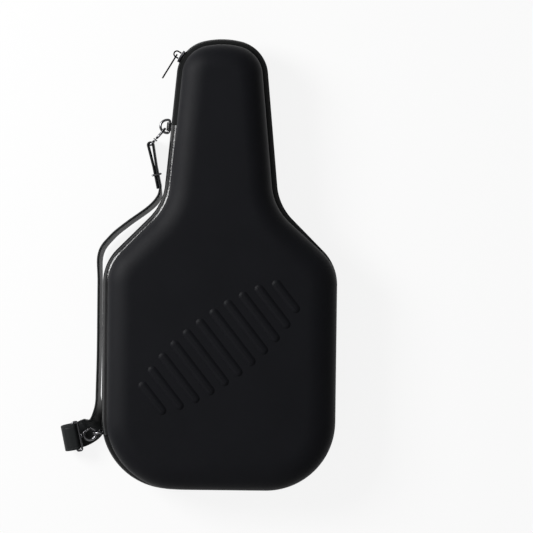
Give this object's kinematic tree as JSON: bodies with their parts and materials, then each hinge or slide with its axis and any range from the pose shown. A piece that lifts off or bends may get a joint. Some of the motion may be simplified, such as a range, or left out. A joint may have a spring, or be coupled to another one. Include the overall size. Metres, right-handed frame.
{
  "type": "paddle_case",
  "caption": "Moulded clamshell case for a racket-sport paddle, long neck and broad rounded body, edge zip with slider, leather spine hinge and clip-on carry strap on swivel snap hooks",
  "frame": {"origin": "Middle of the case's length and width on the flat back face of the rear shell, which rests on a table.", "axes": "+X to the case's right seen from its front, +Y along the length toward the neck, +Z from the back face to the front face."},
  "size_m": [0.2738, 0.446, 0.06],
  "materials": {
    "shell_fabric": "matte",
    "lining_fabric": "matte",
    "zip_tape": "matte",
    "zip_coil": "satin",
    "strap_leather": "gloss",
    "dark_metal": "gloss"
  },
  "bodies": {
    "rear": {"rear_shell": "shell_fabric", "rear_lining": "lining_fabric", "rear_zip_tape": "zip_tape", "rear_zip_coil": "zip_coil", "rear_spine": "strap_leather", "rear_binding": "zip_tape", "upper_ring_tab": "strap_leather", "lower_ring_tab": "strap_leather", "upper_strap_loop": "dark_metal", "lower_strap_loop": "dark_metal", "carry_strap": "strap_leather"},
    "lid": {"front_shell": "shell_fabric", "front_lining": "lining_fabric", "front_zip_tape": "zip_tape", "front_zip_coil": "zip_coil", "front_spine": "strap_leather", "front_binding": "zip_tape"},
    "slider": {"slider_body": "dark_metal", "slider_bail": "dark_metal"},
    "pull": {"pull_tab": "dark_metal"},
    "upper_d_ring": {"upper_ring": "dark_metal"},
    "lower_d_ring": {"lower_ring": "dark_metal"},
    "upper_snap": {"upper_hook": "dark_metal", "upper_swivel_post": "dark_metal"},
    "lower_snap": {"lower_hook": "dark_metal", "lower_swivel_post": "dark_metal"},
    "upper_latch": {"upper_gate": "dark_metal"},
    "lower_latch": {"lower_gate": "dark_metal"},
    "buckle": {"strap_buckle": "dark_metal"}
  },
  "joints": [
    {"name": "lid_hinge", "type": "hinge", "parent": "rear", "child": "lid", "pos_m": [-0.116, 0, 0.03], "axis": [0, -1, 0], "range_deg": [0, 100]},
    {"name": "slider_travel", "type": "hinge", "parent": "rear", "child": "slider", "pos_m": [-0.01014, 0.18684, 0.03], "axis": [0, 0, 1], "range_deg": [-34, 14]},
    {"name": "pull_swing", "type": "hinge", "parent": "slider", "child": "pull", "pos_m": [-0.04649, 0.20518, 0.03], "axis": [0, 0, -1], "range_deg": [0, 40]},
    {"name": "upper_ring_swing", "type": "hinge", "parent": "rear", "child": "upper_d_ring", "pos_m": [-0.05209, 0.1362, 0.016], "axis": [-0.0941, -0.9956, 0], "range_deg": [-8, 8]},
    {"name": "lower_ring_swing", "type": "hinge", "parent": "rear", "child": "lower_d_ring", "pos_m": [-0.11657, -0.16815, 0.016], "axis": [0, 0, 1], "range_deg": [-8, 8]},
    {"name": "upper_swivel", "type": "hinge", "parent": "rear", "child": "upper_snap", "pos_m": [-0.06066, 0.12942, 0.016], "axis": [0.6494, 0.7604, 0], "range_deg": [-20, 20]},
    {"name": "lower_swivel", "type": "hinge", "parent": "rear", "child": "lower_snap", "pos_m": [-0.12824, -0.17053, 0.016], "axis": [0.9799, 0.1994, 0], "range_deg": [-20, 20]},
    {"name": "upper_gate_press", "type": "hinge", "parent": "upper_snap", "child": "upper_latch", "pos_m": [-0.06354, 0.12605, 0.01915], "axis": [-0.7604, 0.6494, 0], "range_deg": [0, 14], "stiffness_Nm_per_rad": 0.02},
    {"name": "lower_gate_press", "type": "hinge", "parent": "lower_snap", "child": "lower_latch", "pos_m": [-0.1332, -0.16832, 0.016], "axis": [0, 0, -1], "range_deg": [0, 14], "stiffness_Nm_per_rad": 0.02},
    {"name": "buckle_slide", "type": "slide", "parent": "rear", "child": "buckle", "axis": [0.2079, -0.9781, 0], "range_m": [-0.008, 0.008]}
  ]
}
